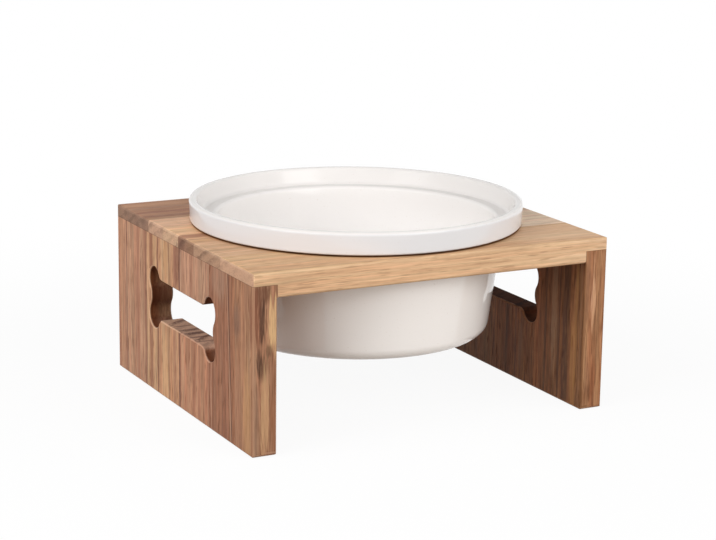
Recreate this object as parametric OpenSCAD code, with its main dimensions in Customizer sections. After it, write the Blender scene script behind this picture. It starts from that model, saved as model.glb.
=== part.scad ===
// Raised dog feeder: a wooden stand of edge-glued staves with two bone-shaped grip
// holes, and a glazed bowl that drops into the round hole of its top board.
// Millimetres, +Z up, origin on the floor below the middle of the stand, front at -Y.

/* [Stand] */
// Length of the stand over both legs
stand_l = 280; // [260:1:340]
// Depth of the stand, front edge to back edge
stand_d = 248; // [246:1:300]
// Height of the board's top face above the floor
stand_h = 128; // [116:1:180]
// Thickness of the top board
board_t = 18; // [14:0.5:22]
// Thickness of each leg panel
leg_t = 18; // [13:0.5:22]
// Thickness of the board's lap over each leg
lap_t = 9; // [7.5:0.5:12]
// Rounding of the stand's outer edges
edge_r = 2; // [0.5:0.25:4]
// Rounding of the leg panels' lower corners, front and back
corner_r = 3.5; // [2:0.25:6]
// Softened edge of the grip holes and of the legs' inner corners
soft_edge = 1.2; // [0.4:0.1:2]

/* [Top board staves] */
// Glue joint in front of the back stave, from the middle of the stand
top_joint_y = 61; // [50:1:80]
// Width of the second stave from the back
top_stave_2_w = 28; // [15:1:40]
// Width of the third stave from the back
top_stave_3_w = 29; // [15:1:40]
// Width of the fourth stave from the back
top_stave_4_w = 28; // [15:1:40]
// Width of the fifth stave from the back
top_stave_5_w = 46; // [15:1:50]

/* [Leg staves] */
// Wood between the grip hole's end and the wide stave's glue joint
wide_web = 5.5; // [3:0.5:20]
// Middle glue joint's distance from the middle of the grip hole
middle_joint_y = 2; // [-10:0.5:10]
// Wood between the grip hole's other end and the narrow stave's glue joint
narrow_web = 25.5; // [5:0.5:35]

/* [Grip hole] */
// Overall length of the bone-shaped hole
grip_l = 121; // [105:1:150]
// Overall height of the hole over its lobes
grip_h = 46; // [42:0.5:54]
// Height of the hole along its bar
grip_bar_h = 29.6; // [27:0.2:34]
// Radius of each of the four lobes
lobe_r = 10; // [9:0.5:12]
// Radius that joins a lobe to the bar
neck_r = 6; // [4:0.5:8]
// Radius of the bump between the two lobes of an end
waist_r = 12; // [8:0.5:16]
// Depth of the hole's centre below the board's top face
grip_drop = 56; // [50:0.5:64]

/* [Dowels] */
// Diameter of the wooden dowels between leg and board
dowel_d = 6; // [4:0.5:8]
// Length of a dowel inside the leg
dowel_in_leg = 14; // [8:0.5:16]
// Length of a dowel inside the board's lap
dowel_in_lap = 5.5; // [3:0.5:6.5]
// Distance of the two inner dowels from the middle of the stand
dowel_inner_y = 38; // [20:1:60]
// Distance of the two outer dowels from the middle of the stand
dowel_outer_y = 105; // [90:1:112]
// Chamfer at both ends of a dowel
dowel_chamfer = 0.6; // [0.2:0.1:1.2]
// Glue gap around a dowel
dowel_gap = 0.05; // [0.05:0.05:0.3]

/* [Bowl] */
// Outer diameter of the rim
rim_d = 246; // [238:1:248]
// Height of the rim above the board
rim_h = 17.4; // [14:0.2:24]
// Thickness of the rim at its round lip
rim_t = 5.5; // [4:0.25:7]
// How much the rim's outside narrows from lip to foot, on the radius
rim_draft = 0.8; // [0:0.1:2]
// How much the rim's inside narrows from lip to ledge, on the radius
rim_lean = 3.5; // [1:0.25:5]
// Rounding of the rim's lower outer edge
rim_foot_r = 1.5; // [0.5:0.25:3]
// Gap between the board and the outer part of the rim
rim_gap = 1.2; // [0.3:0.1:1.5]
// Width of the ring under the rim that rests on the board
rim_rest_w = 4; // [2:0.5:6]
// Depth of the inner ledge below the lip
ledge_drop = 12.6; // [9:0.2:13]
// Rounding of the ledge's two edges
ledge_r = 3; // [1:0.25:4]
// Diameter of the body at the board's top face
body_d = 218.8; // [206:0.2:220]
// Lean of the body's wall
body_taper = 7.5; // [3:0.5:12]
// Depth of the bowl below the board's top face
bowl_depth = 81; // [65:1:95]
// Thickness of the body's wall
wall_t = 6.8; // [5:0.2:9]
// Thickness of the bowl's floor
floor_t = 7; // [5:0.5:10]
// Rounding of the base's outer corner
base_r = 11; // [6:0.5:24]
// Rounding inside, between wall and floor
well_r = 18; // [8:0.5:30]
// Width of the ring that the bowl stands on when it is lifted out
foot_w = 8; // [5:0.5:14]
// Depth of the recess inside that ring
foot_recess = 2; // [1:0.25:4]
// Gap between the bowl's body and the hole in the board
bowl_gap = 1.2; // [0.5:0.1:3]
// Softened edge of the hole in the board
hole_ease = 0.8; // [0.3:0.1:2]

/* [Hidden] */
$fn = 64;
// Distance that a cutter runs past the face it cuts
past = 1;
// Overlap of two arcs that run into each other, so that they cross
blend = 0.03;

// Stand: legs below the lap, the board's core between them, and the hole for the bowl
leg_h = stand_h - lap_t;
core_l = stand_l - 2 * leg_t;
leg_x = -(stand_l - leg_t) / 2;
board_z = stand_h - board_t;
bowl_hole_r = body_d / 2 + bowl_gap;

// Grip hole: places of its lobes, necks and waists, and where their arcs meet
lobe_u = grip_l / 2 - lobe_r;
lobe_v = grip_h / 2 - lobe_r;
bar_v = grip_bar_h / 2;
neck_v = bar_v + neck_r;
neck_u = lobe_u - sqrt(pow(lobe_r + neck_r, 2) - pow(neck_v - lobe_v, 2));
waist_u = lobe_u + sqrt(pow(lobe_r + waist_r, 2) - pow(lobe_v, 2));
grip_z = stand_h - grip_drop;

// Glue joints from back to front, the panel's own edges first and last
top_joint_3_y = top_joint_y - top_stave_2_w;
top_joint_4_y = top_joint_3_y - top_stave_3_w;
top_joint_5_y = top_joint_4_y - top_stave_4_w;
top_joint_6_y = top_joint_5_y - top_stave_5_w;
top_joints = [
    stand_d / 2, top_joint_y, top_joint_3_y, top_joint_4_y, top_joint_5_y, top_joint_6_y, -stand_d / 2
];
leg_joints = [
    stand_d / 2, grip_l / 2 + wide_web, middle_joint_y, -lobe_u, -grip_l / 2 - narrow_web, -stand_d / 2
];

// Bowl: heights and radii of its section
lip_z = stand_h + rim_h;
lip_c = [(rim_d - rim_t) / 2, lip_z - rim_t / 2];
ledge_z = lip_z - ledge_drop;
base_z = stand_h - bowl_depth;
well_z = base_z + floor_t;
mouth_r = body_d / 2 - wall_t + (ledge_z - stand_h) * tan(body_taper);
ledge_foot = [rim_d / 2 - rim_t - rim_lean, ledge_z];
ledge_round = min(ledge_r, 0.4 * (ledge_foot.x - mouth_r));
rim_turn = atan(rim_draft / rim_h);
base_c = [
    body_d / 2 - (bowl_depth - base_r) * tan(body_taper) - base_r / cos(body_taper),
    base_z + base_r
];
well_c = [
    mouth_r - (ledge_z - well_z - well_r) * tan(body_taper) - well_r / cos(body_taper),
    well_z + well_r
];

// Point at a distance from another, in the direction of an angle
function polar(c, r, a) = c + r * [cos(a), sin(a)];

// Direction of the line from a point that touches a circle on its left side
function touch_angle(p, c, r) =
    atan2(c.y - p.y, c.x - p.x) + asin(r / norm(c - p));

// Rectangle about the origin with round corners
module rounded_rect(w, h, r) {
    square([w - 2 * r, h], center = true);
    square([w, h - 2 * r], center = true);
    for (x = [-1, 1], y = [-1, 1])
        translate([x * (w / 2 - r), y * (h / 2 - r)])
            circle(r);
}

// Solid along X whose outline lies in the YZ plane
module along_x(l) {
    rotate([90, 0, 90])
        translate([0, 0, -l / 2])
            linear_extrude(l)
                children();
}

// Solid along Y whose outline lies in the XZ plane
module along_y(l) {
    rotate([90, 0, 0])
        translate([0, 0, -l / 2])
            linear_extrude(l)
                children();
}

// Box between two opposite corners
module block(low, high) {
    translate(low)
        cube(high - low);
}

// Section of a softened edge at a radius, with the wood outside it
module ease_section(r, ease) {
    polygon([[r - past, -ease - past], [r + ease + past, past], [r - past, past]]);
}

// Place inside a neck of the bone-shaped hole, between a lobe's centre and the bar
module neck_patch(u, v) {
    polygon([
        [u * lobe_u, v * lobe_v], [u * neck_u, v * neck_v],
        [u * neck_u, v * (bar_v - past)], [u * lobe_u, v * (bar_v - past)]
    ]);
}

// Place inside the waist of that hole, between the two lobes of an end
module waist_patch(u) {
    polygon([[u * lobe_u, lobe_v], [u * waist_u, 0], [u * lobe_u, -lobe_v]]);
}

// Outline of the hole: a bar, four lobes, and the arcs that join them
module grip_outline() {
    square([2 * lobe_u, grip_bar_h], center = true);
    for (u = [-1, 1]) {
        for (v = [-1, 1]) {
            translate([u * lobe_u, v * lobe_v])
                circle(lobe_r);
            difference() {
                neck_patch(u, v);
                translate([u * neck_u, v * neck_v])
                    circle(neck_r + blend);
            }
        }
        difference() {
            waist_patch(u);
            translate([u * waist_u, 0])
                circle(waist_r + blend);
        }
    }
}

// Cone whose radius is r at the foot of a softened edge, widening upwards for side 1
module ease_cone(r, side) {
    run = soft_edge + past;
    translate([0, 0, -run])
        cylinder(r1 = r - side * past, r2 = r + side * run, h = run + past);
}

// Slab over the depth of a softened edge
module ease_slab() {
    translate([0, 0, -soft_edge - past / 2])
        linear_extrude(soft_edge + past)
            children();
}

// Softened edge of the hole on the face at z = 0
module grip_ease() {
    for (v = [0, 1])
        mirror([0, v, 0])
            translate([-lobe_u, 0, 0])
                rotate([90, 0, 90])
                    linear_extrude(2 * lobe_u)
                        ease_section(bar_v, soft_edge);
    for (u = [-1, 1]) {
        for (v = [-1, 1]) {
            translate([u * lobe_u, v * lobe_v])
                ease_cone(lobe_r, 1);
            difference() {
                ease_slab()
                    neck_patch(u, v);
                translate([u * neck_u, v * neck_v])
                    ease_cone(neck_r + blend, -1);
            }
        }
        difference() {
            ease_slab()
                waist_patch(u);
            translate([u * waist_u, 0])
                ease_cone(waist_r + blend, -1);
        }
    }
}

// All that the grip hole takes out of the left leg
module grip_cutter() {
    translate([leg_x, 0, grip_z]) {
        along_x(leg_t + 2 * past)
            grip_outline();
        for (face = [0, 1])
            mirror([face, 0, 0])
                translate([leg_t / 2, 0, 0])
                    rotate([90, 0, 90])
                        grip_ease();
    }
}

// Softened inner corners of the left leg, from the floor up to the board
module corner_cutter() {
    for (side = [0, 1])
        mirror([0, side, 0])
            translate([-core_l / 2, stand_d / 2, -past])
                rotate(45)
                    translate([0, -stand_d / 2, 0])
                        linear_extrude(board_z + past)
                            translate([-soft_edge / sqrt(2), 0])
                                square([2 * soft_edge, stand_d]);
}

// Dowels of the left side, each grown by a gap all round where it cuts its own hole
module dowel_row(gap) {
    r = dowel_d / 2 + gap;
    l = dowel_in_leg + dowel_in_lap + 2 * gap;
    for (y = [-dowel_outer_y, -dowel_inner_y, dowel_inner_y, dowel_outer_y])
        translate([leg_x, y, leg_h - dowel_in_leg - gap])
            rotate_extrude()
                polygon([
                    [0, 0], [r - dowel_chamfer, 0], [r, dowel_chamfer],
                    [r, l - dowel_chamfer], [r - dowel_chamfer, l], [0, l]
                ]);
}

// Whole left leg panel, before it is parted at its glue joints
module leg_panel() {
    difference() {
        intersection() {
            linear_extrude(leg_h)
                rounded_rect(stand_l, stand_d, edge_r);
            translate([leg_x, 0, stand_h / 2])
                along_y(stand_d)
                    rounded_rect(leg_t, stand_h, edge_r);
            translate([leg_x, 0, stand_h / 2])
                along_x(leg_t)
                    rounded_rect(stand_d, stand_h, corner_r);
        }
        grip_cutter();
        corner_cutter();
        dowel_row(dowel_gap);
    }
}

// One stave of the left leg, between glue joints i and i + 1
module leg_stave(i, z_low = 0, z_high = leg_h) {
    intersection() {
        leg_panel();
        block(
            [-stand_l / 2, leg_joints[i + 1], z_low],
            [-core_l / 2, leg_joints[i], z_high]
        );
    }
}

// Round hole that the bowl drops into, with softened edges
module bowl_hole() {
    translate([0, 0, board_z - past])
        cylinder(r = bowl_hole_r, h = board_t + 2 * past);
    translate([0, 0, stand_h])
        rotate_extrude()
            ease_section(bowl_hole_r, hole_ease);
    translate([0, 0, board_z])
        mirror([0, 0, 1])
            rotate_extrude()
                ease_section(bowl_hole_r, hole_ease);
}

// Whole top board with a lap over each leg, before it is parted at its glue joints
module top_board() {
    difference() {
        intersection() {
            translate([0, 0, board_z])
                linear_extrude(board_t)
                    rounded_rect(stand_l, stand_d, edge_r);
            translate([0, 0, stand_h / 2])
                along_y(stand_d)
                    rounded_rect(stand_l, stand_h, edge_r);
            translate([0, 0, stand_h - board_t / 2])
                along_x(stand_l)
                    rounded_rect(stand_d, board_t, edge_r);
            union() {
                block([-stand_l / 2, -stand_d / 2, leg_h], [stand_l / 2, stand_d / 2, stand_h]);
                block([-core_l / 2, -stand_d / 2, board_z], [core_l / 2, stand_d / 2, stand_h]);
            }
        }
        bowl_hole();
        dowel_row(dowel_gap);
        mirror([1, 0, 0])
            dowel_row(dowel_gap);
    }
}

// One stave of the board between glue joints i and i + 1: side is -1 left, 1 right, 0 whole
module top_stave(i, side) {
    intersection() {
        top_board();
        block(
            [side > 0 ? 0 : -stand_l / 2, top_joints[i + 1], board_z],
            [side < 0 ? 0 : stand_l / 2, top_joints[i], stand_h]
        );
    }
}

// Bowl's outside below the rim, with a round corner above the foot ring
module body_outline() {
    polygon([
        [0, base_z], [base_c.x, base_z], polar(base_c, base_r, -body_taper),
        [body_d / 2, stand_h], [0, stand_h]
    ]);
    translate(base_c)
        circle(base_r);
}

// Rim's outside, up to the points where its two walls meet the round lip
module rim_outline() {
    lip_out = polar(lip_c, rim_t / 2, -rim_turn);
    under_z = stand_h + rim_gap;
    foot_z = under_z + rim_foot_r;
    foot_c = [
        lip_out.x - (lip_out.y - foot_z) * tan(rim_turn) - rim_foot_r / cos(rim_turn),
        foot_z
    ];
    rest_r = min(bowl_hole_r + hole_ease + rim_rest_w, foot_c.x - 1.5 * rim_gap);
    lip_in = lip_inner_point();
    polygon([
        [0, stand_h], [rest_r, stand_h], [rest_r + rim_gap, under_z], [foot_c.x, under_z],
        polar(foot_c, rim_foot_r, -rim_turn), lip_out, lip_in, [0, lip_in.y]
    ]);
    translate(foot_c)
        circle(rim_foot_r);
}

// Point where the rim's inner wall meets the round lip
function lip_inner_point() =
    polar(lip_c, rim_t / 2, touch_angle(ledge_foot, lip_c, rim_t / 2) + 90);

// Space inside the rim, above the ledge, with a round corner at the ledge's foot
module rim_space() {
    wall_turn = touch_angle(ledge_foot, lip_c, rim_t / 2);
    reach = ledge_round / tan((180 - wall_turn) / 2);
    ledge_in = ledge_foot - [reach, 0];
    lip_in = lip_inner_point();
    polygon([
        [0, ledge_z], ledge_in, polar(ledge_foot, reach, wall_turn),
        lip_in, [lip_in.x, lip_z + past], [0, lip_z + past]
    ]);
    translate(ledge_in + [0, ledge_round])
        circle(ledge_round);
}

// Space in the body, below the ledge, with a round corner above the floor
module well_space() {
    polygon([
        [0, well_z], [well_c.x, well_z], polar(well_c, well_r, -body_taper),
        [mouth_r, ledge_z], [mouth_r, ledge_z + past], [0, ledge_z + past]
    ]);
    translate(well_c)
        circle(well_r);
}

// Sliver taken off the ledge's inner edge to round it
module ledge_ease() {
    reach = ledge_round * tan((90 - body_taper) / 2);
    edge = [mouth_r, ledge_z];
    round_c = edge + [reach, -ledge_round];
    difference() {
        polygon([
            edge + [reach, 0], round_c, polar(edge, reach, -90 - body_taper), edge + [-past, past]
        ]);
        translate(round_c)
            circle(ledge_round);
    }
}

// Half section of the bowl
module bowl_section() {
    ring_in = base_c.x - foot_w;
    difference() {
        union() {
            body_outline();
            rim_outline();
        }
        rim_space();
        well_space();
        ledge_ease();
        polygon([
            [0, base_z - past], [ring_in + past, base_z - past],
            [ring_in - foot_recess, base_z + foot_recess], [0, base_z + foot_recess]
        ]);
    }
    translate(lip_c)
        circle(d = rim_t);
}

// Staves of the top board, from back to front
module top_back_stave() {
    color("#a57e66")
        top_stave(0, 0);
}

module top_stave_2_left() {
    color("#c29e84")
        top_stave(1, -1);
}

module top_stave_2_right() {
    color("#c3a286")
        top_stave(1, 1);
}

module top_stave_3_left() {
    color("#caa687")
        top_stave(2, -1);
}

module top_stave_3_right() {
    color("#c5a183")
        top_stave(2, 1);
}

module top_stave_4_left() {
    color("#b1876f")
        top_stave(3, -1);
}

module top_stave_4_right() {
    color("#bd9677")
        top_stave(3, 1);
}

module top_stave_5_left() {
    color("#cda27e")
        top_stave(4, -1);
}

module top_stave_5_right() {
    color("#cba580")
        top_stave(4, 1);
}

module top_front_stave() {
    color("#d6ac86")
        top_stave(5, 0);
}

// Staves of the left leg, from back to front
module left_leg_wide_stave() {
    color("#b2866d")
        leg_stave(0);
}

module left_leg_grip_stave() {
    color("#b98b6d")
        leg_stave(1);
}

module left_leg_upper_stave() {
    color("#b58b70")
        leg_stave(2, z_low = grip_z);
}

module left_leg_lower_stave() {
    color("#ac7f66")
        leg_stave(2, z_high = grip_z);
}

module left_leg_notched_stave() {
    color("#9c6e55")
        leg_stave(3);
}

module left_leg_narrow_stave() {
    color("#a3785d")
        leg_stave(4);
}

// Staves of the right leg: the same panel turned about, so from front to back
module right_leg_wide_stave() {
    color("#9e7052")
        rotate(180)
            leg_stave(0);
}

module right_leg_grip_stave() {
    color("#96684c")
        rotate(180)
            leg_stave(1);
}

module right_leg_upper_stave() {
    color("#a1755a")
        rotate(180)
            leg_stave(2, z_low = grip_z);
}

module right_leg_lower_stave() {
    color("#976b50")
        rotate(180)
            leg_stave(2, z_high = grip_z);
}

module right_leg_notched_stave() {
    color("#a87b5f")
        rotate(180)
            leg_stave(3);
}

module right_leg_narrow_stave() {
    color("#9b6e55")
        rotate(180)
            leg_stave(4);
}

module left_dowels() {
    color("#d9bd95")
        dowel_row(0);
}

module right_dowels() {
    color("#d9bd95")
        rotate(180)
            dowel_row(0);
}

module feeding_bowl() {
    color("#f1edea")
        rotate_extrude()
            bowl_section();
}

top_back_stave();
top_front_stave();
top_stave_2_left();
top_stave_2_right();
top_stave_3_left();
top_stave_3_right();
top_stave_4_left();
top_stave_4_right();
top_stave_5_left();
top_stave_5_right();
left_leg_wide_stave();
left_leg_grip_stave();
left_leg_upper_stave();
left_leg_lower_stave();
left_leg_notched_stave();
left_leg_narrow_stave();
right_leg_wide_stave();
right_leg_grip_stave();
right_leg_upper_stave();
right_leg_lower_stave();
right_leg_notched_stave();
right_leg_narrow_stave();
left_dowels();
right_dowels();
feeding_bowl();
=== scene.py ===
"""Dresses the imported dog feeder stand: glued wood staves, hidden dowels and a glazed bowl."""

import logging
import math
from contextlib import contextmanager
from dataclasses import dataclass
from enum import Enum
from functools import cached_property, partial
from typing import Any, Callable, Dict, Iterator, List, Optional, Sequence, Tuple, Union

import bmesh
import bpy
from bpy.types import ID, Material, Mesh, MeshPolygon, Node, NodeSocket, NodeTree, Object
from mathutils import Matrix, Vector


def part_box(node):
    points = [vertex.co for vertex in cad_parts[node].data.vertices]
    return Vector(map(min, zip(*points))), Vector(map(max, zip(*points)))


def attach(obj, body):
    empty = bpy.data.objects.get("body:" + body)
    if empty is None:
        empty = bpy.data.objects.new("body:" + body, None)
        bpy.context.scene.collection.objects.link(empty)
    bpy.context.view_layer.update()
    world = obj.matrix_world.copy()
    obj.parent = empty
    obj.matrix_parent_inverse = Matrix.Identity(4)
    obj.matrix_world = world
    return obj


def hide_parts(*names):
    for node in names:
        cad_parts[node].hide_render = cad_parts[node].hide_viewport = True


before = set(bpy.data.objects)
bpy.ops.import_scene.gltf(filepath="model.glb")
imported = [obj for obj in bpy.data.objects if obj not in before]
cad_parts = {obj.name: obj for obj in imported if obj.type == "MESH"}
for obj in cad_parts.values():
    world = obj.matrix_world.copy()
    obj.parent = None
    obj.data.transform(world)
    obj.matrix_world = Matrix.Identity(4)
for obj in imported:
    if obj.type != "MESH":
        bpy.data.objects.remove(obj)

logging.basicConfig(level=logging.INFO, format="%(message)s")
LOG = logging.getLogger("feeder")

MM = 0.001
MERGE = 1e-6
WHITE = (1.0, 1.0, 1.0, 1.0)
Colour = Tuple[float, float, float, float]
Number = Union[int, float, "Value"]
Spot = Tuple["Value", "Value", "Value"]
Settings = Optional[Dict[str, Any]]
Sockets = Optional[Dict[Any, Any]]


class Axis(Enum):
    """An axis of the stand, as its place in a point."""

    X = 0
    Y = 1
    Z = 2

    def of(self, point: Sequence[Any]) -> Any:
        """The part of a point that lies on this axis."""
        return point[self.value]


class Side(Enum):
    """The two ends of the stand."""

    LEFT = "left"
    RIGHT = "right"

    @property
    def sign(self) -> int:
        """-1 on the left and 1 on the right."""
        return -1 if self is Side.LEFT else 1


@dataclass(frozen=True)
class StandSize:
    """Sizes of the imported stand, in millimetres from its middle and from the floor."""

    half_l: float
    half_d: float
    leg_t: float
    lap_z: float

    @classmethod
    def packed(cls) -> "StandSize":
        """Reads the sizes from the left leg's wide stave, whose lap edge the board rests on."""
        low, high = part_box("left_leg_wide_stave")
        return cls(-low.x / MM, high.y / MM, (high.x - low.x) / MM, high.z / MM)

    @property
    def leg_x(self) -> float:
        """Distance of each leg panel's middle from the middle of the stand."""
        return self.half_l - self.leg_t / 2

    @property
    def core_x(self) -> float:
        """Distance of each leg's inner face from the middle of the stand."""
        return self.half_l - self.leg_t


STAND = StandSize.packed()


def tone(code: str) -> Colour:
    """Turns a six-digit display colour into the linear colour that a shader takes.

    Args:
        code: Red, green and blue as six hexadecimal digits.

    Returns:
        The linear colour with full alpha.
    """
    parts = [int(code[i : i + 2], 16) / 255 for i in (0, 2, 4)]
    linear = [p / 12.92 if p <= 0.04045 else ((p + 0.055) / 1.055) ** 2.4 for p in parts]
    return (linear[0], linear[1], linear[2], 1.0)


def operator(operation: str) -> Tuple[Callable[..., "Value"], Callable[..., "Value"]]:
    """Makes the two methods of an operator, each of which adds one Math node.

    Args:
        operation: The Math node's operation.

    Returns:
        The method for a value that comes first, and the one for a value that comes last.
    """

    def plain(self: "Value", *others: Number) -> "Value":
        """Puts the other numbers after this one."""
        return self.tree.math(operation, self, *others)

    def reflected(self: "Value", other: Number) -> "Value":
        """Puts the other number before this one."""
        return self.tree.math(operation, other, self)

    return plain, reflected


class Value:
    """A socket of a node tree that can stand in arithmetic."""

    def __init__(self, tree: "Tree", socket: NodeSocket) -> None:
        """Wraps one output socket of a tree."""
        self.tree = tree
        self.socket = socket

    __add__, __radd__ = operator("ADD")
    __sub__, __rsub__ = operator("SUBTRACT")
    __mul__, __rmul__ = operator("MULTIPLY")
    __truediv__, __rtruediv__ = operator("DIVIDE")
    __pow__, __rpow__ = operator("POWER")
    __abs__ = operator("ABSOLUTE")[0]
    least = operator("MINIMUM")[0]
    most = operator("MAXIMUM")[0]
    floor = operator("FLOOR")[0]
    sine = operator("SINE")[0]
    cosine = operator("COSINE")[0]

    def rise(self, low: float, high: float) -> "Value":
        """Smooth step from 0 at low to 1 at high, or down where low is the larger.

        Args:
            low: Where the result is 0.
            high: Where the result is 1.

        Returns:
            A value from 0 to 1.
        """
        if low > high:
            return 1 - self.rise(high, low)
        sockets = {"Value": self, "From Min": low, "From Max": high}
        return self.tree.value("ShaderNodeMapRange", {"interpolation_type": "SMOOTHSTEP"}, sockets)


class Tree:
    """A node tree under construction."""

    def __init__(self, tree: NodeTree) -> None:
        """Wraps a shader or geometry tree."""
        self.tree = tree

    def make(self, kind: str, settings: Settings = None, sockets: Sockets = None) -> Node:
        """Adds one node.

        Args:
            kind: The node's type.
            settings: Its own settings, which are set first.
            sockets: What goes into its inputs: numbers, colours or their six digits, links, or nodes by their
                first output.

        Returns:
            The new node.
        """
        node = self.tree.nodes.new(kind)
        for name, setting in (settings or {}).items():
            setattr(node, name, setting)
        for name, given in (sockets or {}).items():
            source = given.socket if isinstance(given, Value) else given
            if isinstance(source, Node):
                source = source.outputs[0]
            if isinstance(source, NodeSocket):
                self.tree.links.new(source, node.inputs[name])
            else:
                node.inputs[name].default_value = tone(source) if isinstance(source, str) else source
        return node

    def value(self, kind: str, settings: Settings = None, sockets: Sockets = None, output: int = 0) -> Value:
        """Adds one node and gives one of its outputs."""
        return Value(self, self.make(kind, settings, sockets).outputs[output])

    def math(self, operation: str, *terms: Number) -> Value:
        """Adds one Math node and gives its result."""
        return self.value("ShaderNodeMath", {"operation": operation}, dict(enumerate(terms)))

    def vector(self, x: Number, y: Number, z: Number) -> Value:
        """Joins three numbers into a vector."""
        return self.value("ShaderNodeCombineXYZ", None, {0: x, 1: y, 2: z})

    def split(self, vector: Any) -> List[Value]:
        """Parts a vector into its three numbers."""
        node = self.make("ShaderNodeSeparateXYZ", None, {0: vector})
        return [Value(self, socket) for socket in node.outputs]

    def blend(self, first: Any, second: Any, share: Number, mode: str = "MIX") -> Value:
        """Mixes two colours by the share of the second."""
        sockets = {0: share, 6: first, 7: second}
        return self.value("ShaderNodeMix", {"data_type": "RGBA", "blend_type": mode}, sockets, 2)

    def noise(self, x: Number, y: Number, z: Number, detail: float = 2, rough: float = 0.5) -> Value:
        """Soft noise from 0 to 1 at a point, by its number of finer layers and their strength."""
        sockets = {"Vector": self.vector(x, y, z), "Scale": 1.0, "Detail": detail, "Roughness": rough}
        return self.value("ShaderNodeTexNoise", {"noise_dimensions": "3D"}, sockets)

    def chance(self, number: Number) -> Value:
        """A fixed random value from 0 to 1 for each number."""
        return self.value("ShaderNodeTexWhiteNoise", {"noise_dimensions": "1D"}, {"W": number})


class MaterialTree(Tree):
    """The shader tree of a new material."""

    def __init__(self, name: str) -> None:
        """Starts an empty material.

        Args:
            name: The material's name.
        """
        self.material = bpy.data.materials.new(name)
        self.material.use_nodes = True
        super().__init__(self.material.node_tree)
        self.tree.nodes.clear()

    def place(self) -> List[Value]:
        """Object coordinates in millimetres."""
        sockets = {0: self.make("ShaderNodeTexCoord").outputs["Object"], "Scale": 1 / MM}
        return self.split(self.make("ShaderNodeVectorMath", {"operation": "SCALE"}, sockets))

    def facing(self) -> List[Value]:
        """The surface's own direction."""
        return self.split(self.make("ShaderNodeTexCoord").outputs["Normal"])

    def close(self, sockets: Dict[str, Any], height: Value, depth: float) -> Material:
        """Ends the tree in a Principled shader.

        Args:
            sockets: What goes into the shader's inputs.
            height: Relief of the surface, from 0 to 1.
            depth: How deep that relief is, in millimetres.

        Returns:
            The finished material.
        """
        bump = self.make("ShaderNodeBump", None, {"Height": height, "Distance": depth * MM, "Strength": 1.0})
        shader = self.make("ShaderNodeBsdfPrincipled", None, {**sockets, "Normal": bump})
        self.make("ShaderNodeOutputMaterial", None, {"Surface": shader})
        return self.material


@dataclass(frozen=True)
class Grain:
    """Noise drawn out along the grain: its three lengths in millimetres, and its finer layers."""

    length: float
    width: float
    thick: float
    detail: float = 2
    rough: float = 0.5

    def at(self, t: Tree, spot: Spot, shift: float = 0.0) -> Value:
        """The noise at a place along, across and through a piece, moved along by a shift of its own."""
        along, across, depth = spot[0] / self.length, spot[1] / self.width, spot[2] / self.thick
        return t.noise(along + shift if shift else along, across, depth, self.detail, self.rough)


@dataclass(frozen=True)
class Mark:
    """A streak or blotch of another tone in the wood.

    spans gives its middle and half size on each axis that bounds it, in millimetres. drift is how far it
    wanders along the grain, rag how ragged its edge is and slant how far it leans off the grain. One that
    lies over_ends shows as strongly on the end grain.
    """

    code: str
    strength: float
    spans: Tuple[Tuple[Axis, float, float], ...]
    drift: float = 1.2
    rag: float = 0.7
    slant: float = 0.0
    over_ends: bool = False


@dataclass(frozen=True)
class Seam:
    """A thin dark glue line at a place on an axis, kept to where another axis is past a limit."""

    axis: Axis
    at: float
    strength: float
    half: float = 0.32
    only: Optional[Axis] = None
    past: float = 0.0
    below: bool = False


class Tint(Enum):
    """Parts of the wood's pattern, with a painted edge highlight and a painted rim shade, as factors on the
    red, green and blue of a stave's middle tone.
    """

    PALE = (1.20, 1.24, 1.27)
    DEEP = (0.78, 0.72, 0.70)
    LATE_WOOD = (0.52, 0.45, 0.42)
    DARK_STREAK = (0.60, 0.50, 0.46)
    PALE_STREAK = (1.25, 1.25, 1.22)
    PORE = (0.45, 0.38, 0.34)
    # Paler eased edges: partly wear and partly a painted highlight where the edges catch light.
    WORN_EDGE = (1.35, 1.52, 1.72)
    # Painted shade on the board in the gap under the bowl's rim.
    RIM_STAIN = (0.32, 0.20, 0.10)


SLOW_WARP = Grain(170, 30, 30, 2, 0.45)
QUICK_WARP = Grain(42, 11, 11)
MOTTLE = Grain(6, 10, 10, 2, 0.6)
CLOUD = Grain(45, 14, 14, 3, 0.55)
HUE = Grain(300, 4.5, 50, 3, 0.55)
END_DOTS = Grain(7, 1.1, 1.1, 2, 0.6)
RAGGED_EDGE = Grain(24, 1.2, 1.2, 3, 0.65)
GRIT = Grain(10, 1.4, 0.7, 2, 0.6)
RED_CAST: Colour = (1.07, 0.95, 0.91, 1.0)
GREEN_CAST: Colour = (0.95, 1.04, 1.02, 1.0)
END_RING_CAST: Colour = (0.36, 0.31, 0.30, 1.0)
GLUE = "3a2116"

# Grip hole of each leg: height of its middle, half its length and height, and half the length of its bar.
HOLE_Z, HOLE_HALF_L, HOLE_HALF_H, BAR_HALF_L = 72.0, 63.0, 25.0, 41.0
# Height at which a slanted mark lies at its own place.
SLANT_Z = 60.0


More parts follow.
